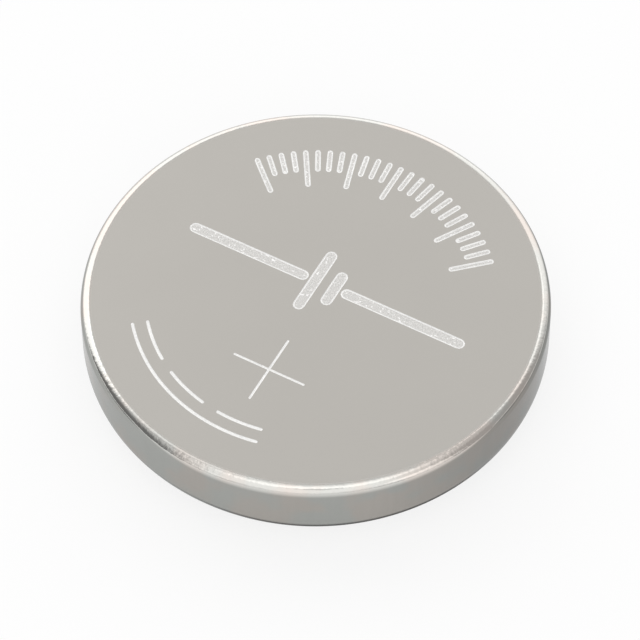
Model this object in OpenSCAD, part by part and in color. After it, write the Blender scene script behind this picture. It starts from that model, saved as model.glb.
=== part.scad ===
// Lithium coin cell, 16 mm across and 3.2 mm high, crimped shut.
// Millimetres. The origin is the centre of the negative face, +Z runs to the positive face.
// Every piece is turned about Z, so each one is a profile in the plane of radius and height.

/* [Cell] */
// diameter across the can's wall
cell_d = 16; // [14:0.5:20]
// height from the negative face to the positive face
cell_h = 3.2; // [3:0.05:3.6]

/* [Can] */
// sheet of the drawn can
can_t = 0.22; // [0.18:0.01:0.25]
// outer radius of the drawn shoulder round the positive face
shoulder_r = 0.34; // [0.26:0.02:0.5]
// outer radius of the crimp that closes the can on the negative side
crimp_r = 1.2; // [1.1:0.05:1.4]
// height at which the crimped lip stays back from the negative face
lip_back = 0.3; // [0.25:0.05:0.4]
// straight lip past the end of the crimp's bend
lip_flat = 0.05; // [0:0.05:0.2]

/* [Cap] */
// sheet of the stepped cap
cap_t = 0.2; // [0.16:0.01:0.24]
// width of the groove between the gasket's edge and the cap's step
groove_w = 0.3; // [0.24:0.02:0.5]
// outer radius of the corner round the raised flat
flat_corner_r = 0.34; // [0.28:0.02:0.4]
// outer radius of the hollow at the foot of the step
step_hollow_r = 0.16; // [0.1:0.02:0.2]
// outer radius of the bend from the ledge to the skirt
skirt_bend_r = 0.6; // [0.5:0.05:0.7]

/* [Gasket] */
// gasket wall between the can and the cap's skirt
gasket_t = 0.3; // [0.25:0.01:0.35]
// gasket left between the can's lip and the cap's ledge, pinched by the crimp
pinch_t = 0.18; // [0.14:0.01:0.22]
// gasket foot between the end of the skirt and the can's floor
foot_t = 0.35; // [0.25:0.05:0.5]
// thickness of the inner leg, which lies inside the skirt
leg_t = 0.3; // [0.2:0.02:0.32]
// height of the inner leg from the can's floor
leg_h = 1.25; // [1:0.05:1.4]
// width of the rounded bead that the gasket shows past the can's lip
bead_w = 0.16; // [0.1:0.02:0.2]
// clearance left on each face of the gasket
seal_gap = 0.01; // [0:0.005:0.02]

/* [Cathode] */
// sheet of the collector ring
ring_t = 0.15; // [0.1:0.01:0.2]
// height of the collector ring's wall
ring_h = 0.9; // [0.6:0.05:1.1]
// width of the ring's flange on the can's floor
flange_w = 0.95; // [0.6:0.05:1.4]
// radius of the pellet's pressed edge
pellet_edge_r = 0.14; // [0.1:0.01:0.2]

/* [Separator] */
// thickness of the separator
sep_t = 0.18; // [0.12:0.01:0.2]
// height of its turned-up rim
sep_rim_h = 0.9; // [0.6:0.05:0.95]
// outer radius of the bend into the rim
sep_bend_r = 0.3; // [0.25:0.01:0.35]

/* [Anode] */
// gap between the lithium's edge and the wall of the cap's well
lithium_gap = 0.2; // [0.1:0.05:0.5]
// radius of the lithium's pressed edge
lithium_edge_r = 0.1; // [0.05:0.01:0.15]

/* [Fit] */
// radial clearance between the pieces of the stack
stack_gap = 0.03; // [0.02:0.01:0.05]

/* [Hidden] */
$fn = 128;
cell_r = cell_d / 2;
// centre heights of the shoulder's and the crimp's bends
shoulder_z = cell_h - shoulder_r;
crimp_z = lip_back + crimp_r;
lip_r = cell_r - crimp_r - lip_flat;
bead_r = lip_r - can_t / 2 - bead_w;
floor_z = cell_h - can_t;
// cap: the ledge lies one pinched gasket above the lip, the skirt one gasket wall inside the can
plateau_r = bead_r - groove_w;
ledge_z = lip_back + can_t + pinch_t;
skirt_r = cell_r - can_t - gasket_t;
skirt_bend_z = ledge_z + skirt_bend_r;
skirt_end_z = floor_z - foot_t;
// gasket's inner leg
leg_out_r = skirt_r - cap_t - seal_gap;
leg_in_r = leg_out_r - leg_t;
leg_end_z = floor_z - leg_h;
// stack, from the cap's inside up to the can's floor
lithium_r = plateau_r - cap_t - lithium_gap;
sep_z = ledge_z + cap_t;
sep_r = leg_in_r - stack_gap;
pellet_z = sep_z + sep_t;
ring_r = sep_r - sep_t - stack_gap;
pellet_r = ring_r - ring_t - stack_gap;

// The can filled solid, its surface moved inward by t.
module can_fill(t) {
    translate([0, crimp_z]) square([cell_r - t, shoulder_z - crimp_z]);
    translate([0, shoulder_z]) square([cell_r - shoulder_r, shoulder_r - t]);
    translate([cell_r - shoulder_r, shoulder_z]) circle(shoulder_r - t);
    translate([0, lip_back + t]) square([cell_r - crimp_r, crimp_r - t]);
    translate([cell_r - crimp_r, crimp_z]) circle(crimp_r - t);
}

// The cap filled solid up to height top, its surface moved inward by t.
module cap_fill(t, top) {
    // raised flat with its rounded corner
    translate([0, t]) square([plateau_r - flat_corner_r, ledge_z]);
    translate([plateau_r - flat_corner_r, flat_corner_r]) circle(flat_corner_r - t);
    translate([0, flat_corner_r]) square([plateau_r - t, ledge_z + t - flat_corner_r]);
    // hollow at the foot of the step
    difference() {
        translate([plateau_r - t - 0.01, ledge_z - step_hollow_r])
            square([step_hollow_r + t + 0.01, step_hollow_r + t]);
        translate([plateau_r + step_hollow_r, ledge_z - step_hollow_r]) circle(step_hollow_r + t);
    }
    // ledge, bend and skirt
    translate([0, ledge_z + t]) square([skirt_r - skirt_bend_r, skirt_bend_r - t]);
    translate([skirt_r - skirt_bend_r, skirt_bend_z]) circle(skirt_bend_r - t);
    translate([0, skirt_bend_z]) square([skirt_r - t, top - skirt_bend_z]);
}

// A disc's half profile with a pressed round on its outer lower edge.
module edged_disc(r, h, edge) {
    square([r - edge, h]);
    translate([0, edge]) square([r, h - edge]);
    translate([r - edge, edge]) circle(edge);
}

// Drawn cup, closed at the top by the positive face and crimped in under the cap.
module positive_can() {
    color([0.74, 0.73, 0.71]) rotate_extrude() {
        difference() {
            can_fill(0);
            can_fill(can_t);
            square([lip_r, crimp_z]);
        }
        translate([lip_r, lip_back + can_t / 2]) circle(can_t / 2);
    }
}

// Moulded sealing ring: a wall along the can, a foot on its floor and a leg inside the skirt.
module gasket() {
    color([0.16, 0.17, 0.19]) rotate_extrude() {
        difference() {
            can_fill(can_t + seal_gap);
            cap_fill(-seal_gap, skirt_end_z + seal_gap);
            square([bead_r + bead_w / 2, skirt_bend_z]);
            translate([0, skirt_bend_z]) square([leg_in_r, cell_h]);
        }
        translate([leg_in_r, leg_end_z]) square([leg_t, skirt_end_z + 2 * seal_gap - leg_end_z]);
        translate([bead_r + bead_w / 2, lip_back + can_t + bead_w / 2 + seal_gap]) circle(bead_w / 2);
    }
}

// Stepped cap: raised flat, ledge under the crimp and a skirt that runs up into the gasket.
module negative_cap() {
    color([0.70, 0.69, 0.67]) rotate_extrude() difference() {
        cap_fill(0, skirt_end_z);
        cap_fill(cap_t, cell_h);
    }
}

// Collector ring of L section that holds the pellet's edge on the can's floor.
module cathode_ring() {
    color([0.62, 0.63, 0.65]) rotate_extrude() {
        translate([ring_r - ring_t, floor_z - ring_h]) square([ring_t, ring_h]);
        translate([ring_r - flange_w, floor_z - ring_t]) square([flange_w, ring_t]);
    }
}

// Pressed pellet, rebated for the ring's flange.
module cathode_pellet() {
    color([0.13, 0.13, 0.13]) rotate_extrude() {
        translate([0, pellet_z]) edged_disc(pellet_r, floor_z - ring_t - pellet_z, pellet_edge_r);
        translate([0, floor_z - ring_t - 0.01]) square([ring_r - flange_w - stack_gap, ring_t + 0.01]);
    }
}

// Fibre disc dished up round the pellet, so that no edge of it bares the lithium.
module separator() {
    color([0.93, 0.92, 0.88]) rotate_extrude() translate([0, sep_z]) difference() {
        edged_disc(sep_r, sep_rim_h, sep_bend_r);
        translate([0, sep_t]) edged_disc(sep_r - sep_t, cell_h, sep_bend_r - sep_t);
    }
}

// Lithium disc pressed into the cap's well.
module lithium_disc() {
    color([0.80, 0.81, 0.83]) rotate_extrude() translate([0, sep_z]) mirror([0, 1])
        edged_disc(lithium_r, sep_z - cap_t, lithium_edge_r);
}

positive_can();
gasket();
negative_cap();
cathode_ring();
cathode_pellet();
separator();
lithium_disc();
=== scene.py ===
import math

import bmesh
import bpy
from mathutils import Matrix, Vector
from mathutils.geometry import delaunay_2d_cdt


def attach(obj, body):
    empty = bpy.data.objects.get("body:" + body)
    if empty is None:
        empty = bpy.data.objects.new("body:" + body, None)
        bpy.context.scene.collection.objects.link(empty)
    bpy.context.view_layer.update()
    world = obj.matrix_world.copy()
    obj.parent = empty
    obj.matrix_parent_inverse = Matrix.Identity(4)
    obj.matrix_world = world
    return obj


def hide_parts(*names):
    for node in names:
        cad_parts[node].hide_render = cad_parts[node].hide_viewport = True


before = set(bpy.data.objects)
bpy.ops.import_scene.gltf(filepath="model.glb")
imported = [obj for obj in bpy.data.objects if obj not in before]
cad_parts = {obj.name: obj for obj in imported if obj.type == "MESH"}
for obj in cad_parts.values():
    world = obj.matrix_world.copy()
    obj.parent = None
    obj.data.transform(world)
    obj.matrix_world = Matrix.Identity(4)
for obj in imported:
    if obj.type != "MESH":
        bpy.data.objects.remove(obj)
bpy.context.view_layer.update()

# Positive can: the cup that holds the whole cell, deep drawn from nickel-plated stainless sheet.
# Its bottom is the flat positive face with laser marks; drawing leaves a rounded shoulder and a
# straight wall, and the closing press curls the open edge in over the gasket.
MM = 0.001
AROUND = 288
SHARP_DEGREES = 32
CAN_R, CAN_H, CAN_SHEET = 8.0, 3.2, 0.22
SHOULDER_R, FACE_MARGIN = 0.34, 0.06
CRIMP_R, LIP_BACK, LIP_FLAT = 1.2, 0.3, 0.05
SHOULDER_C = (CAN_R - SHOULDER_R, CAN_H - SHOULDER_R)
CRIMP_C = (CAN_R - CRIMP_R, LIP_BACK + CRIMP_R)
LIP_R, LIP_EDGE_R = CRIMP_C[0] - LIP_FLAT, CAN_SHEET / 2
CAN_FLOOR = CAN_H - CAN_SHEET
FACE_R = SHOULDER_C[0] - FACE_MARGIN
WALL_RINGS = 4


def arc(centre, radius, start, end, steps):
    """Points in radius and height along an arc, angles in degrees."""
    out = []
    for i in range(steps + 1):
        a = math.radians(start + (end - start) * i / steps)
        out.append((centre[0] + radius * math.cos(a), centre[1] + radius * math.sin(a)))
    return out


def turned(profile, closed=False):
    """A profile in radius and height turned about Z: its points, faces and rings of point numbers."""
    points, faces, rings = [], [], []
    for r, z in profile:
        start = len(points)
        if r == 0:
            points.append((0.0, 0.0, z))
            rings.append([start])
            continue
        for k in range(AROUND):
            a = 2 * math.pi * k / AROUND
            points.append((r * math.cos(a), r * math.sin(a), z))
        rings.append(list(range(start, start + AROUND)))
    pairs = list(zip(rings, rings[1:])) + ([(rings[-1], rings[0])] if closed else [])
    for low, high in pairs:
        for k in range(AROUND):
            n = (k + 1) % AROUND
            quad = [low[k % len(low)], low[n % len(low)], high[n % len(high)], high[k % len(high)]]
            faces.append(list(dict.fromkeys(quad)))
    return points, faces, rings


def piece(name, node, points, faces, finishes, finish_of=None):
    """Makes a closed mesh of the points in mm, gives it its finishes and stands it for the node."""
    bm = bmesh.new()
    corners = [bm.verts.new(Vector(p) * MM) for p in points]
    for i, face in enumerate(faces):
        made = bm.faces.new([corners[k] for k in face])
        made.smooth = True
        made.material_index = finish_of[i] if finish_of else 0
    bmesh.ops.recalc_face_normals(bm, faces=bm.faces)
    mesh = bpy.data.meshes.new(name)
    bm.to_mesh(mesh)
    bm.free()
    mesh.set_sharp_from_angle(angle=math.radians(SHARP_DEGREES))
    for material in finishes:
        mesh.materials.append(material)
    made = bpy.data.objects.new(name, mesh)
    bpy.context.scene.collection.objects.link(made)
    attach(made, "root")
    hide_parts(node)


class Wire:
    """One socket of a finish. Arithmetic on wires of values adds their Math nodes."""

    def __init__(self, bench, socket):
        self.bench, self.socket = bench, socket

    def __add__(self, other):
        return self.bench.math("ADD", self, other)

    def __sub__(self, other):
        return self.bench.math("SUBTRACT", self, other)

    def __rsub__(self, other):
        return self.bench.math("SUBTRACT", other, self)

    def __mul__(self, other):
        return self.bench.math("MULTIPLY", self, other)

    def __pow__(self, other):
        return self.bench.math("POWER", self, other)

    __radd__ = __add__
    __rmul__ = __mul__

    def rise(self, low, high, start=0.0, end=1.0):
        """Eases from start to end as the value goes from low to high."""
        settings = {"interpolation_type": "SMOOTHSTEP"}
        inputs = {"Value": self, "From Min": low, "From Max": high, "To Min": start, "To Max": end}
        return self.bench.add("ShaderNodeMapRange", settings, inputs)


class Bench:
    """Where a finish is put together: the node tree of a material or of the world."""

    def __init__(self, tree):
        self.tree = tree
        tree.nodes.clear()

    def add(self, kind, settings=None, inputs=None, out=0):
        """Any node: its type, its settings, what its sockets hold or are wired to, and its output."""
        node = self.tree.nodes.new(kind)
        for key, value in (settings or {}).items():
            setattr(node, key, value)
        for key, value in (inputs or {}).items():
            if isinstance(value, Wire):
                self.tree.links.new(value.socket, node.inputs[key])
            else:
                node.inputs[key].default_value = value
        return Wire(self, node.outputs[out]) if len(node.outputs) else node

    def math(self, operation, *values):
        return self.add("ShaderNodeMath", {"operation": operation}, dict(enumerate(values)))

    def place(self):
        """The point on the piece in mm, as one wire and as its three values."""
        held = self.add("ShaderNodeTexCoord", out="Object")
        point = self.add("ShaderNodeVectorMath", {"operation": "SCALE"}, {0: held, "Scale": 1 / MM})
        return point, [self.add("ShaderNodeSeparateXYZ", inputs={0: point}, out=i) for i in range(3)]

    def stretched(self, x, y, z):
        """A point with its own scale along each axis, for a finish that runs one way."""
        return self.add("ShaderNodeCombineXYZ", inputs={0: x, 1: y, 2: z})

    def noise(self, point, scale, detail=2.0, rough=0.5):
        inputs = {"Vector": point, "Scale": scale, "Detail": detail, "Roughness": rough}
        return self.add("ShaderNodeTexNoise", inputs=inputs)

    def mix(self, factor, a, b, blend="MIX"):
        inputs = {"Factor": factor, 6: a, 7: b}
        return self.add("ShaderNodeMix", {"data_type": "RGBA", "blend_type": blend}, inputs, out=2)

    def shade(self, colour, value):
        """A colour made lighter or darker by a value."""
        grey = self.add("ShaderNodeCombineColor", inputs={0: value, 1: value, 2: value})
        return self.mix(1.0, colour, grey, "MULTIPLY")

    def bump(self, height, depth_mm):
        """A normal that follows a height of 0 to 1, the depth of the relief in mm."""
        return self.add("ShaderNodeBump", inputs={"Height": height, "Distance": depth_mm * MM})

    def surface(self, **inputs):
        """Ends the finish in a Principled shader, its sockets named with _ for a space."""
        named = {key.replace("_", " "): value for key, value in inputs.items()}
        shader = self.add("ShaderNodeBsdfPrincipled", inputs=named)
        self.add("ShaderNodeOutputMaterial", inputs={"Surface": shader})


def finish(name):
    """A new material and the bench that its nodes are put together on."""
    material = bpy.data.materials.new(name)
    material.use_nodes = True
    return material, Bench(material.node_tree)


# The nickel plate is satin on the flat face, and bright and very slightly rippled where the shoulder
# was pressed over the punch; the shoulder's lighter colour is partly that polish and partly a painted
# highlight. Down the wall the draw ring ironed it and left faint upright lines, and the wall's darker
# colour is partly the ironed finish and partly painted shade, the shadowed table that it mirrors. The
# painted shade's soft upper edge is wide in front and behind, and narrower and higher at the sides.
# Its rolled foot is ironed less and takes less of the painted shade, and one side of the wall is
# painted a little darker and the rest a touch lighter, painted shade and painted light. Off the flat
# face the plate wanders between a warm and a cool tint.
SATIN_NICKEL = (0.497, 0.478, 0.446, 1)
# Lit and shaded copies of one nickel: the shoulder's colour carries a painted highlight, the wall's colour
# painted shade.
POLISH_AND_HIGHLIGHT_NICKEL = (0.738, 0.677, 0.628, 1), (0.692, 0.687, 0.655, 1)
IRONED_AND_SHADE_NICKEL = (0.373, 0.354, 0.328, 1), (0.350, 0.357, 0.340, 1)
NICKEL_EDGE_ON = (0.80, 0.80, 0.80, 1)
FINE_RELIEF = 0.004
UPRIGHT = 0.06
CURVE_FROM_R, CURVE_TO_R = SHOULDER_C[0] - 0.03, SHOULDER_C[0] + 0.06
BAND_FRONT_Z, BAND_SIDE_Z = SHOULDER_C[1] - 0.03, SHOULDER_C[1] + 0.21
BAND_END_Z, BAND_END_LIFT = SHOULDER_C[1] + 0.22, 0.04
FOOT_LOW_Z, FOOT_HIGH_Z, FOOT_IRONED_AND_SHADE = 0.35, 0.85, 0.25
# One side of the wall is painted darker, painted shade, and the rest a touch lighter, painted light.
PAINTED_SHADE_FROM_X, PAINTED_SHADE_TO_X, PAINTED_LIGHT_SIDE, PAINTED_SHADE_SIDE = 1, CAN_R - 0.6, 0.05, -0.30
can_plate, bench = finish("can_nickel_plate")
point, (x, y, z) = bench.place()
radius = (x * x + y * y) ** 0.5
curved = radius.rise(CURVE_FROM_R, CURVE_TO_R)
side = x * x * (1 / CAN_R ** 2)
band_foot = side.rise(0.15, 0.65, BAND_FRONT_Z, BAND_SIDE_Z)
band_head = side * side * BAND_END_LIFT + BAND_END_Z
# The wall's painted shade lies below this soft edge, which climbs at the sides with the mirrored table's
# edge.
wall = 1 - z.rise(band_foot, band_head)
ironed_and_painted_shade = wall * z.rise(FOOT_LOW_Z, FOOT_HIGH_Z, FOOT_IRONED_AND_SHADE, 1.0)
grain = bench.noise(point, 20.0, detail=3.0)
cloud = bench.noise(point, 0.35)
drawn = bench.noise(bench.stretched(x, y, z * UPRIGHT), 5.0, detail=3.0, rough=0.6)
ripple = bench.noise(point, 6.0)
tint = bench.noise(point, 0.6).rise(0.40, 0.60)
# Satin face and the shoulder with its painted highlight, then painted shade down the wall.
satin_and_painted_highlight = bench.mix(curved, SATIN_NICKEL, bench.mix(tint, *POLISH_AND_HIGHLIGHT_NICKEL))
plate_with_painted_light = bench.mix(ironed_and_painted_shade, satin_and_painted_highlight, bench.mix(tint, *IRONED_AND_SHADE_NICKEL))
tone = 1 + (cloud - 0.5) * 0.03 + (grain - 0.5) * 0.04 * (1 - curved) + (drawn - 0.5) * 0.07 * curved
# painted shade on one side of the wall and a little painted light on the rest
tone = tone + x.rise(PAINTED_SHADE_FROM_X, PAINTED_SHADE_TO_X, PAINTED_LIGHT_SIDE, PAINTED_SHADE_SIDE) * wall
satin = 0.31 + (grain - 0.5) * 0.08
gloss = 0.10 + ironed_and_painted_shade * 0.06 + (drawn - 0.5) * 0.08
relief = grain * (1 - curved) * 0.2 + (drawn * 0.2 + ripple * (1 - ironed_and_painted_shade) * 2.2) * curved
bench.surface(
    Base_Color=bench.shade(plate_with_painted_light, tone),
    Metallic=1.0,
    Roughness=satin * (1 - curved) + gloss * curved,
    Specular_Tint=NICKEL_EDGE_ON,
    Normal=bench.bump(relief, FINE_RELIEF),
)

# The laser burns each mark's outline bright and leaves the field inside it frosted.
BURNT_WHITE = (0.95, 0.945, 0.93, 1)
FROST_DARK, FROST_LIGHT, FROST_SPARK = (0.56, 0.55, 0.53, 1), (0.80, 0.785, 0.765, 1), (0.92, 0.91, 0.90, 1)
laser_line, bench = finish("laser_line")
point, _ = bench.place()
speck = bench.noise(point, 16.0, detail=3.0, rough=0.7)
patch = bench.noise(point, 1.6)
bench.surface(
    Base_Color=bench.shade(BURNT_WHITE, 0.80 + speck.rise(0.3, 0.6) * 0.12 + patch * 0.16),
    Metallic=0.15,
    Roughness=0.55,
    Normal=bench.bump(speck, FINE_RELIEF),
)

laser_field, bench = finish("laser_field")
point, _ = bench.place()
speck = bench.noise(point, 21.0, detail=4.0, rough=0.75)
fleck = speck.rise(0.40, 0.66)
spark = bench.noise(point, 9.0, detail=1.0).rise(0.62, 0.72)
bench.surface(
    Base_Color=bench.mix(spark, bench.mix(fleck, FROST_DARK, FROST_LIGHT), FROST_SPARK),
    Metallic=0.6,
    Roughness=0.48 - fleck * 0.1,
    Normal=bench.bump(speck, FINE_RELIEF),
)

# The marks: the plus sign of the positive pole, the circuit symbol of a cell across the middle,
# a plain scale along the upper edge and the direct current sign bent along the lower one.
# All are drawn in a frame turned against the cell, as the photo shows the cell lying.
MARK_TURN = math.radians(-29.2)
MARK_DEPTH, FIELD_DEPTH = 0.020, 0.008
MARK_SLOPE, FIELD_SLOPE = 0.018, 0.010
STROKE_END = 6
SAME_POINT = 1e-7


def bar(x0, y0, x1, y1, width):
    """Outline of a straight stroke with round ends."""
    along = Vector((x1 - x0, y1 - y0)).normalized()
    across = Vector((-along.y, along.x)) * (width / 2)
    out = []
    for point, sign in ((Vector((x1, y1)), 1), (Vector((x0, y0)), -1)):
        for i in range(STROKE_END + 1):
            a = math.radians(-90 + 180 * i / STROKE_END)
            out.append(point + sign * (along * (width / 2) * math.cos(a) + across * math.sin(a)))
    return out


def curved_bar(radius, start, end, width, steps):
    """Outline of a stroke with round ends that follows a circle about the cell's centre."""
    out = []
    first, last = math.radians(start), math.radians(end)
    stretch = [first + (last - first) * i / steps for i in range(steps + 1)]
    sides = (radius + width / 2, stretch, last, 0), (radius - width / 2, stretch[::-1], first, 180)
    for edge, angles, tip_angle, turn in sides:
        out += [Vector((math.cos(a), math.sin(a))) * edge for a in angles]
        for i in range(1, STROKE_END):
            b = math.radians(turn + 180 * i / STROKE_END)
            tip = Vector((math.cos(tip_angle), math.sin(tip_angle))) * (radius + math.cos(b) * width / 2)
            out.append(tip + Vector((-math.sin(tip_angle), math.cos(tip_angle))) * math.sin(b) * width / 2)
    return out


def cross(x, y, arm, width):
    """Outline of a plus sign with round ends."""
    out = []
    for quarter in range(4):
        turn = Matrix.Rotation(math.radians(90 * quarter), 2)
        for i in range(STROKE_END + 1):
            a = math.radians(-90 + 180 * i / STROKE_END)
            tip = Vector((arm + math.cos(a) * width / 2, math.sin(a) * width / 2))
            out.append(Vector((x, y)) + turn @ tip)
        out.append(Vector((x, y)) + turn @ Vector((width / 2, width / 2)))
    return out


def inset(outline, by):
    """The outline moved inward by a distance, corners kept."""
    out = []
    count = len(outline)
    for i, p in enumerate(outline):
        before = (p - outline[i - 1]).normalized()
        after = (outline[(i + 1) % count] - p).normalized()
        n0, n1 = Vector((-before.y, before.x)), Vector((-after.y, after.x))
        out.append(p + (n0 + n1) * (by / (1 + n0.dot(n1))))
    return out


def flat_sheet(corners, loops):
    """Triangles that fill the first closed loop of corners and leave the loops inside it open."""
    _, _, triangles, sources, _, inside = delaunay_2d_cdt(corners, [], loops, 0, SAME_POINT)
    return [[sources[k][0] for k in t] for t, where in zip(triangles, inside) if where == [0]]


PLUS_AT, PLUS_ARM, PLUS_W = (0.10, -3.43), 1.32, 0.085
CELL_Y, CELL_W = 0.55, 0.42
# the cell sign's strokes, each x0, y0 to x1, y1, with y from the sign's middle line
CELL_STROKES = (
    (-5.0, 0.0, -0.80, 0.0),  # the lead at the left
    (-0.32, -1.15, -0.32, 1.15),  # the long plate
    (0.42, -0.55, 0.42, 0.55),  # the short plate
    (0.90, 0.0, 5.2, 0.0),  # the lead at the right
)
CURRENT_R, DASH_R, CURRENT_W = 6.3, 5.78, 0.115
CURRENT_FROM, CURRENT_TO, DASH_STARTS, DASH_LENGTH = 219.5, 280.5, (219.5, 242, 264.5), 16
SCALE_FROM, SCALE_SWEEP, SCALE_STEPS, LONG_EVERY = 138, 96, 24, 4
SCALE_R, SHORT_TICK_R, LONG_TICK_R, TICK_W = 6.15, 5.40, 4.75, 0.20
BURNT_W = 0.055
# each mark is its outline and the width of the burnt line round its frosted field, or 0 for no field
marks = [(cross(*PLUS_AT, PLUS_ARM, PLUS_W), 0)]
for x0, y0, x1, y1 in CELL_STROKES:
    marks.append((bar(x0, CELL_Y + y0, x1, CELL_Y + y1, CELL_W), BURNT_W))
marks.append((curved_bar(CURRENT_R, CURRENT_FROM, CURRENT_TO, CURRENT_W, steps=40), 0))
for start in DASH_STARTS:
    marks.append((curved_bar(DASH_R, start, start + DASH_LENGTH, CURRENT_W, steps=12), 0))
for i in range(SCALE_STEPS + 1):
    a = math.radians(SCALE_FROM - i * SCALE_SWEEP / SCALE_STEPS)
    outward = Vector((math.cos(a), math.sin(a)))
    tick_r = SHORT_TICK_R if i % LONG_EVERY else LONG_TICK_R
    marks.append((bar(*(outward * tick_r), *(outward * SCALE_R), TICK_W), BURNT_W))

can_points, can_faces, can_rings = turned(
    [(FACE_R, CAN_H)]
    + arc(SHOULDER_C, SHOULDER_R, 90, 0, 18)
    + [(CAN_R, SHOULDER_C[1] + (CRIMP_C[1] - SHOULDER_C[1]) * i / WALL_RINGS) for i in range(1, WALL_RINGS)]
    + arc(CRIMP_C, CRIMP_R, 0, -90, 28)
    + arc((LIP_R, LIP_BACK + LIP_EDGE_R), LIP_EDGE_R, -90, -270, 10)
    + arc(CRIMP_C, CRIMP_R - CAN_SHEET, -90, 0, 20)
    + arc(SHOULDER_C, SHOULDER_R - CAN_SHEET, 0, 90, 6)
    + [(0.0, CAN_FLOOR)]
)
PLATE, LINE, FIELD = range(3)
can_finish = [PLATE] * len(can_faces)

# the positive face is one flat sheet with the marks cut into it, each with a sloped edge
as_lying = Matrix.Rotation(MARK_TURN, 2)
flat = [Vector(can_points[k][:2]) for k in can_rings[0]]
loops, numbers = [list(range(len(flat)))], list(can_rings[0])
for outline, line_w in marks:
    outline = [as_lying @ p for p in outline]
    steps = [(0.0, 0.0), (MARK_SLOPE, MARK_DEPTH)]
    if line_w:
        steps += [(line_w - FIELD_SLOPE, MARK_DEPTH), (line_w, FIELD_DEPTH)]
    rings = []
    for by, depth in steps:
        rings.append(list(range(len(can_points), len(can_points) + len(outline))))
        can_points += [(*p, CAN_H - depth) for p in inset(outline, by)]
    for low, high in zip(rings, rings[1:]):
        for k in range(len(outline)):
            n = (k + 1) % len(outline)
            can_faces.append([low[k], low[n], high[n], high[k]])
            can_finish.append(LINE)
    loops.append(list(range(len(flat), len(flat) + len(outline))))
    flat += outline
    numbers += rings[0]
    bottom = rings[-1]
    for triangle in flat_sheet([Vector(can_points[k][:2]) for k in bottom], [list(range(len(bottom)))]):
        can_faces.append([bottom[k] for k in triangle])
        can_finish.append(FIELD if line_w else LINE)
for triangle in flat_sheet(flat, loops):
    can_faces.append([numbers[k] for k in triangle])
    can_finish.append(PLATE)

piece(
    "drawn_can",
    "positive_can",
    can_points,
    can_faces,
    [can_plate, laser_line, laser_field],
    can_finish,
)

# Cathode ring: a thin stainless collar of L section, pressed round the pellet's edge so that it
# keeps its shape and carries the current to the can's floor, on which its flange lies.
GASKET_T, SEAL_GAP, CAP_T, LEG_T, STACK_GAP = 0.30, 0.01, 0.20, 0.30, 0.03
SKIRT_R = CAN_R - CAN_SHEET - GASKET_T
LEG_OUT_R = SKIRT_R - CAP_T - SEAL_GAP
LEG_IN_R = LEG_OUT_R - LEG_T
SEP_R, SEP_T, SEP_BEND = LEG_IN_R - STACK_GAP, 0.18, 0.30
RING_R, RING_T, RING_H, FLANGE_W = SEP_R - SEP_T - STACK_GAP, 0.15, 0.90, 0.95
RING_BEND, RING_EDGE = 0.04, 0.02
RING_IN_R, RING_END, FLANGE_IN_R = RING_R - RING_T, CAN_FLOOR - RING_H, RING_R - FLANGE_W
STAINLESS = (0.53, 0.52, 0.51, 1)
ring_points, ring_faces, _ = turned(
    arc((RING_R - RING_BEND, CAN_FLOOR - RING_BEND), RING_BEND, 0, 90, 4)
    + [(FLANGE_IN_R, CAN_FLOOR), (FLANGE_IN_R, CAN_FLOOR - RING_T)]
    + arc((RING_IN_R - RING_EDGE, CAN_FLOOR - RING_T - RING_EDGE), RING_EDGE, 90, 0, 3)
    + [(RING_IN_R, RING_END + RING_EDGE), (RING_IN_R + RING_EDGE, RING_END)]
    + [(RING_R - RING_EDGE, RING_END), (RING_R, RING_END + RING_EDGE)],
    closed=True,
)
plain_stainless, bench = finish("plain_stainless")
point, (x, y, z) = bench.place()
grain = bench.noise(point, 18.0, detail=3.0)
drawn = bench.noise(bench.stretched(x, y, z * UPRIGHT), 6.0, detail=3.0, rough=0.6)
bench.surface(
    Base_Color=bench.shade(STAINLESS, 0.94 + grain * 0.06 + drawn * 0.06),
    Metallic=1.0,
    Roughness=0.20 + drawn * 0.12,
    Normal=bench.bump(grain + drawn, 0.0008),
)
piece("collector_ring", "cathode_ring", ring_points, ring_faces, [plain_stainless])

# Cathode pellet: manganese dioxide powder with a little carbon, pressed hard into the ring and
# rebated where the flange lies. It is matt black with the fine pores of a pressed powder.
PELLET_R, PELLET_EDGE = RING_R - RING_T - STACK_GAP, 0.14
REBATE_R = FLANGE_IN_R - STACK_GAP
PINCHED_T = 0.18
LEDGE_Z = LIP_BACK + CAN_SHEET + PINCHED_T
SEP_Z = LEDGE_Z + CAP_T
PELLET_Z = SEP_Z + SEP_T
POWDER_DARK, POWDER_LIGHT = (0.018, 0.017, 0.016, 1), (0.060, 0.058, 0.056, 1)
pellet_points, pellet_faces, _ = turned(
    [(0.0, PELLET_Z)]
    + arc((PELLET_R - PELLET_EDGE, PELLET_Z + PELLET_EDGE), PELLET_EDGE, -90, 0, 8)
    + [(PELLET_R, CAN_FLOOR - RING_T), (REBATE_R, CAN_FLOOR - RING_T)]
    + [(REBATE_R, CAN_FLOOR), (0.0, CAN_FLOOR)]
)
pressed_powder, bench = finish("pressed_manganese_dioxide")
point, _ = bench.place()
pores = bench.noise(point, 12.0, detail=4.0, rough=0.7)
bench.surface(
    Base_Color=bench.mix(pores.rise(0.35, 0.7), POWDER_DARK, POWDER_LIGHT),
    Roughness=0.75 + pores * 0.2,
    Normal=bench.bump(pores, 0.02),
)
piece("pressed_pellet", "cathode_pellet", pellet_points, pellet_faces, [pressed_powder])

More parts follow.
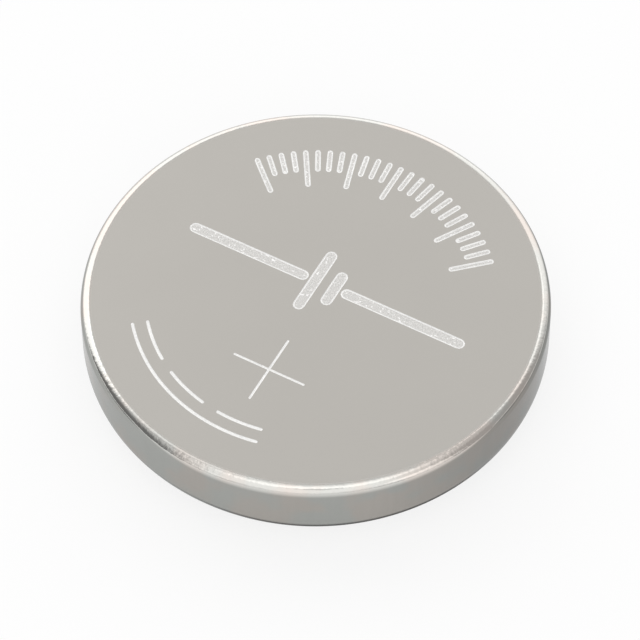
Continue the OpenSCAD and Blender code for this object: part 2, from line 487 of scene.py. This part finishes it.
# Separator: a disc of non-woven polypropylene, white and felt-like, soaked with electrolyte and
# dished up round the pellet so that the two electrodes never touch.
SEP_RIM, SEP_EDGE = 0.90, 0.03
SEP_IN_R, SEP_END = SEP_R - SEP_T, SEP_Z + SEP_RIM
FELT_DARK, FELT_LIGHT = (0.70, 0.69, 0.66, 1), (0.90, 0.89, 0.86, 1)
separator_points, separator_faces, _ = turned(
    [(0.0, SEP_Z)]
    + arc((SEP_R - SEP_BEND, SEP_Z + SEP_BEND), SEP_BEND, -90, 0, 10)
    + [(SEP_R, SEP_END - SEP_EDGE), (SEP_R - SEP_EDGE, SEP_END)]
    + [(SEP_IN_R + SEP_EDGE, SEP_END), (SEP_IN_R, SEP_END - SEP_EDGE)]
    + arc((SEP_R - SEP_BEND, SEP_Z + SEP_BEND), SEP_BEND - SEP_T, 0, -90, 6)
    + [(0.0, PELLET_Z)]
)
felted_fibre, bench = finish("felted_fibre")
point, (x, y, z) = bench.place()
fibres = bench.noise(bench.stretched(x * 0.25, y, z), 9.0)
across = bench.noise(bench.stretched(x, y * 0.25, z), 9.0, rough=0.6)
felt = bench.math("MAXIMUM", fibres, across)
bench.surface(
    Base_Color=bench.mix(felt.rise(0.4, 0.65), FELT_DARK, FELT_LIGHT),
    Roughness=0.85 - felt * 0.2,
    Normal=bench.bump(felt, 0.02),
)
piece("dished_separator", "separator", separator_points, separator_faces, [felted_fibre])

# Lithium disc: punched from soft lithium foil and pressed into the well of the cap. It is silvery
# and dulled by a thin film, with a slightly drawn-over edge from the punch.
BEAD_W, GROOVE_W = 0.16, 0.30
BEAD_R = LIP_R - LIP_EDGE_R - BEAD_W
PLATEAU_R = BEAD_R - GROOVE_W
LITHIUM_GAP, LITHIUM_EDGE = 0.20, 0.10
LITHIUM_R = PLATEAU_R - CAP_T - LITHIUM_GAP
LITHIUM_DULL, LITHIUM_SILVER = (0.46, 0.47, 0.49, 1), (0.66, 0.67, 0.69, 1)
lithium_points, lithium_faces, _ = turned(
    [(0.0, CAP_T), (LITHIUM_R, CAP_T)]
    + arc((LITHIUM_R - LITHIUM_EDGE, SEP_Z - LITHIUM_EDGE), LITHIUM_EDGE, 0, 90, 6)
    + [(0.0, SEP_Z)]
)
lithium_foil, bench = finish("lithium_foil")
point, (x, y, z) = bench.place()
film = bench.noise(point, 1.6, detail=4.0, rough=0.6)
rolled = bench.noise(bench.stretched(x * 0.1, y, z), 12.0)
bench.surface(
    Base_Color=bench.mix(film.rise(0.35, 0.7), LITHIUM_DULL, LITHIUM_SILVER),
    Metallic=0.9,
    Roughness=0.34 + film * 0.25,
    Normal=bench.bump(rolled, 0.003),
)
piece("pressed_lithium", "lithium_disc", lithium_points, lithium_faces, [lithium_foil])

# Negative cap: drawn from thin nickel-plated stainless sheet in two steps, a raised flat and a
# ledge, with a skirt that the gasket's channel holds. The flat is pebbled by the die.
CORNER_R, HOLLOW_R, BEND_R = 0.34, 0.16, 0.60
CAP_MARGIN, SKIRT_EDGE, SKIRT_SHORT = 0.05, 0.05, 0.35
SKIRT_END, SKIRT_IN_R = CAN_FLOOR - SKIRT_SHORT, SKIRT_R - CAP_T
CORNER_C = (PLATEAU_R - CORNER_R, CORNER_R)
HOLLOW_C = (PLATEAU_R + HOLLOW_R, LEDGE_Z - HOLLOW_R)
BEND_C = (SKIRT_R - BEND_R, LEDGE_Z + BEND_R)
PEBBLE_TO_R, PEBBLE_END_R = CORNER_C[0] - 0.06, CORNER_C[0] + 0.04
CAP_NICKEL = (0.490, 0.476, 0.450, 1)
cap_points, cap_faces, _ = turned(
    [(0.0, 0.0), (CORNER_C[0] - CAP_MARGIN, 0.0)]
    + arc(CORNER_C, CORNER_R, -90, 0, 12)
    + arc(HOLLOW_C, HOLLOW_R, 180, 90, 8)
    + arc(BEND_C, BEND_R, -90, 0, 14)
    + arc((SKIRT_R - SKIRT_EDGE, SKIRT_END - SKIRT_EDGE), SKIRT_EDGE, 0, 90, 4)
    + arc((SKIRT_IN_R + SKIRT_EDGE, SKIRT_END - SKIRT_EDGE), SKIRT_EDGE, 90, 180, 4)
    + arc(BEND_C, BEND_R - CAP_T, 0, -90, 10)
    + arc(HOLLOW_C, HOLLOW_R + CAP_T, 90, 180, 10)
    + arc(CORNER_C, CORNER_R - CAP_T, 0, -90, 6)
    + [(0.0, CAP_T)]
)
cap_plate, bench = finish("cap_nickel_plate")
point, (x, y, z) = bench.place()
radius = (x * x + y * y) ** 0.5
raised = 1 - radius.rise(PEBBLE_TO_R, PEBBLE_END_R)
pebble = bench.noise(point, 7.0, detail=1.0)
grain = bench.noise(point, 24.0)
rubbed = bench.noise(bench.stretched(x, y, z * UPRIGHT), 5.0, detail=3.0, rough=0.6)
tone = 1 + (grain - 0.5) * 0.05 + (pebble - 0.5) * 0.14 * raised + (rubbed - 0.5) * 0.06
bench.surface(
    Base_Color=bench.shade(CAP_NICKEL, tone),
    Metallic=1.0,
    Roughness=0.15 + raised * 0.06 + (rubbed - 0.5) * 0.08,
    Specular_Tint=NICKEL_EDGE_ON,
    Normal=bench.bump(pebble.rise(0.35, 0.65) * raised + grain * 0.12, 0.010),
)
piece("stepped_cap", "negative_cap", cap_points, cap_faces, [cap_plate])

# Gasket: injection moulded polypropylene with a sealant film. Its wall, foot and inner leg grip
# the cap's skirt, and the crimp squeezes its edge out as a narrow bead beside the can's lip.
LEG_H = 1.25
LEG_END = CAN_FLOOR - LEG_H
BEAD_C = (BEAD_R + BEAD_W / 2, LIP_BACK + CAN_SHEET + BEAD_W / 2 + SEAL_GAP)
PLASTIC_DARK, PLASTIC_LIGHT = (0.026, 0.028, 0.033, 1), (0.050, 0.053, 0.060, 1)
gasket_points, gasket_faces, _ = turned(
    arc(CRIMP_C, CRIMP_R - CAN_SHEET - SEAL_GAP, -90, 0, 24)
    + arc(SHOULDER_C, SHOULDER_R - CAN_SHEET - SEAL_GAP, 0, 90, 6)
    + [(LEG_IN_R, CAN_FLOOR - SEAL_GAP), (LEG_IN_R, LEG_END), (LEG_OUT_R, LEG_END)]
    + [(LEG_OUT_R, SKIRT_END + SEAL_GAP), (SKIRT_R + SEAL_GAP, SKIRT_END + SEAL_GAP)]
    + arc(BEND_C, BEND_R + SEAL_GAP, 0, -90, 14)
    + arc(BEAD_C, BEAD_W / 2, 90, 270, 10),
    closed=True,
)
sealing_plastic, bench = finish("sealing_polypropylene")
point, (x, y, z) = bench.place()
cloud = bench.noise(point, 1.2, detail=3.0)
film = bench.noise(bench.stretched(x, y, z * 3), 6.0, detail=3.0)
bench.surface(
    Base_Color=bench.mix(cloud, PLASTIC_DARK, PLASTIC_LIGHT),
    Roughness=0.30 + film * 0.18,
    Normal=bench.bump(film, 0.006),
)
piece("sealing_ring", "gasket", gasket_points, gasket_faces, [sealing_plastic])

# Floor: a plain white table top, not part of the cell. It keeps the cell's soft shadow. It is
# clear from below, and light passes through it under the cell, so that the negative side can be
# looked at too.
FLOOR_HALF, FLOOR_DROP = 3.0, 0.01
CARD_WHITE, PURE_WHITE = (0.98, 0.98, 0.98, 1), (1, 1, 1, 1)
WHITE_SEEN, WHITE_MIRRORED = 0.80, 0.62
OPEN_R, SHUT_R = CAN_R - 0.1, CAN_R + 0.25
bm = bmesh.new()
bmesh.ops.create_grid(bm, x_segments=2, y_segments=2, size=FLOOR_HALF)
bmesh.ops.translate(bm, verts=bm.verts, vec=(0, 0, -FLOOR_DROP * MM))
floor_mesh = bpy.data.meshes.new("floor")
bm.to_mesh(floor_mesh)
bm.free()
floor = bpy.data.objects.new("floor", floor_mesh)
bpy.context.scene.collection.objects.link(floor)
table_top, bench = finish("table_top")
_, (x, y, z) = bench.place()
under_cell = (x * x + y * y).rise(OPEN_R ** 2, SHUT_R ** 2, 1.0, 0.0)
below = bench.add("ShaderNodeNewGeometry", out="Backfacing")
seen, mirrored, through = [
    bench.add("ShaderNodeLightPath", out=f"Is {kind} Ray") for kind in ("Camera", "Glossy", "Transmission")
]
see_through = bench.math("MAXIMUM", below, under_cell * (1 - seen))
lifted = seen * WHITE_SEEN + bench.math("MAXIMUM", mirrored, through) * WHITE_MIRRORED
lit = bench.add("ShaderNodeBsdfDiffuse", inputs={"Color": CARD_WHITE})
white = bench.add("ShaderNodeEmission", inputs={"Color": PURE_WHITE, "Strength": 1.0})
card = bench.add("ShaderNodeMixShader", inputs={0: lifted, 1: lit, 2: white})
clear = bench.add("ShaderNodeBsdfTransparent")
top = bench.add("ShaderNodeMixShader", inputs={0: see_through, 1: card, 2: clear})
bench.add("ShaderNodeOutputMaterial", inputs={"Surface": top})
floor_mesh.materials.append(table_top)

# Light: a white tent round the cell, brightest behind it and overhead, with a fill in front and a
# darker gap at the left. The tent is much the same below the floor, for views of the negative side,
# but dimmer there at the back, and without the lamp overhead and the seam in front.
TENT_LEVEL = 0.57
BACK_LOW_Z, BACK_LOW_LEVEL = -0.3, 0.6
# each panel is its turn from the back to the right, its rise, its inner and outer reach, all in
# degrees, and its strength
BACK_PANELS = (
    (-36, 25, 26, 37, 0.92),
    (-12, -2, 34, 47, 0.88),
    (28, 22, 12, 42, 0.72),
)
EVEN_PANELS = (
    (-38, 62, 6, 18, 0.42),  # high at the back left
    (36, 55, 6, 16, 0.45),  # high at the back right
    (0, 62, 8, 22, 0.14),  # high behind
    (-172, 42, 14, 58, 0.58),  # the fill in front
    (137, 18, 8, 20, 0.50),  # low at the front right
    (-131, 15, 5, 17, 0.26),  # low at the front left
)
ONE_SIDED_PANELS = (
    (180, 80, 10, 30, 0.44),  # the lamp overhead
    (100, 65, 8, 22, 0.15),  # high at the right
    (180, 58, 3, 10, -0.54),  # the seam in the fill
    (-98, 16, 16, 42, -0.38),  # the gap at the left
    (88, 25, 15, 55, -0.13),  # the dimmer right
    (0, -62, 14, 46, -0.42),  # the dimmer part under the floor
)
world = bpy.data.worlds.new("studio")
bpy.context.scene.world = world
world.use_nodes = True
bench = Bench(world.node_tree)
toward = bench.add("ShaderNodeTexCoord", out="Generated")
x, y, z = [bench.add("ShaderNodeSeparateXYZ", inputs={0: toward}, out=i) for i in range(3)]
height = bench.math("ABSOLUTE", z)


def panel(turn, rise, inner, outer, strength, up):
    """A round soft patch of the tent, or a darker one where its strength is below 0."""
    turn, rise = math.radians(turn), math.radians(rise)
    facing = x * (math.sin(turn) * math.cos(rise)) + y * (math.cos(turn) * math.cos(rise))
    facing = facing + up * math.sin(rise)
    return facing.rise(math.cos(math.radians(outer)), math.cos(math.radians(inner))) * strength


back = 0
for patch in BACK_PANELS:
    back = bench.math("MAXIMUM", back, panel(*patch, height))
level = TENT_LEVEL + back * z.rise(BACK_LOW_Z, 0.0, BACK_LOW_LEVEL, 1.0)
for up, panels in ((height, EVEN_PANELS), (z, ONE_SIDED_PANELS)):
    for patch in panels:
        level = level + panel(*patch, up)
tent = bench.add("ShaderNodeBackground", inputs={"Color": PURE_WHITE, "Strength": level})
bench.add("ShaderNodeOutputWorld", inputs={"Surface": tent})

# Camera: where the photo was taken from, found from the outline and the face's edge.
PHOTO_SIDE, SENSOR_W = 640, 36.0
CAM_DIST, CAM_TILT, CAM_ROLL = 147.427, math.radians(54.437), math.radians(-0.496)
CAM_FOCAL, CAM_U, CAM_V = 4304.1, 315.877, 322.844
CLIP_NEAR, CLIP_FAR = 0.005, 20.0
forward = Vector((0, math.cos(CAM_TILT), -math.sin(CAM_TILT)))
level_x, level_y = Vector((1, 0, 0)), Vector((0, math.sin(CAM_TILT), math.cos(CAM_TILT)))
cam_x = level_x * math.cos(CAM_ROLL) + level_y * math.sin(CAM_ROLL)
cam_y = level_y * math.cos(CAM_ROLL) - level_x * math.sin(CAM_ROLL)
stand = Vector((0, 0, CAN_H / 2 * MM)) - forward * CAM_DIST * MM
lens = bpy.data.cameras.new("camera")
lens.sensor_width = SENSOR_W
lens.lens = CAM_FOCAL / PHOTO_SIDE * SENSOR_W
lens.shift_x = (PHOTO_SIDE / 2 - CAM_U) / PHOTO_SIDE
lens.shift_y = (CAM_V - PHOTO_SIDE / 2) / PHOTO_SIDE
lens.clip_start, lens.clip_end = CLIP_NEAR, CLIP_FAR
camera = bpy.data.objects.new("camera", lens)
facing = Matrix((cam_x, cam_y, -forward)).transposed().to_4x4()
camera.matrix_world = Matrix.Translation(stand) @ facing
bpy.context.scene.collection.objects.link(camera)
bpy.context.scene.camera = camera
bpy.context.scene.view_settings.view_transform = "Standard"
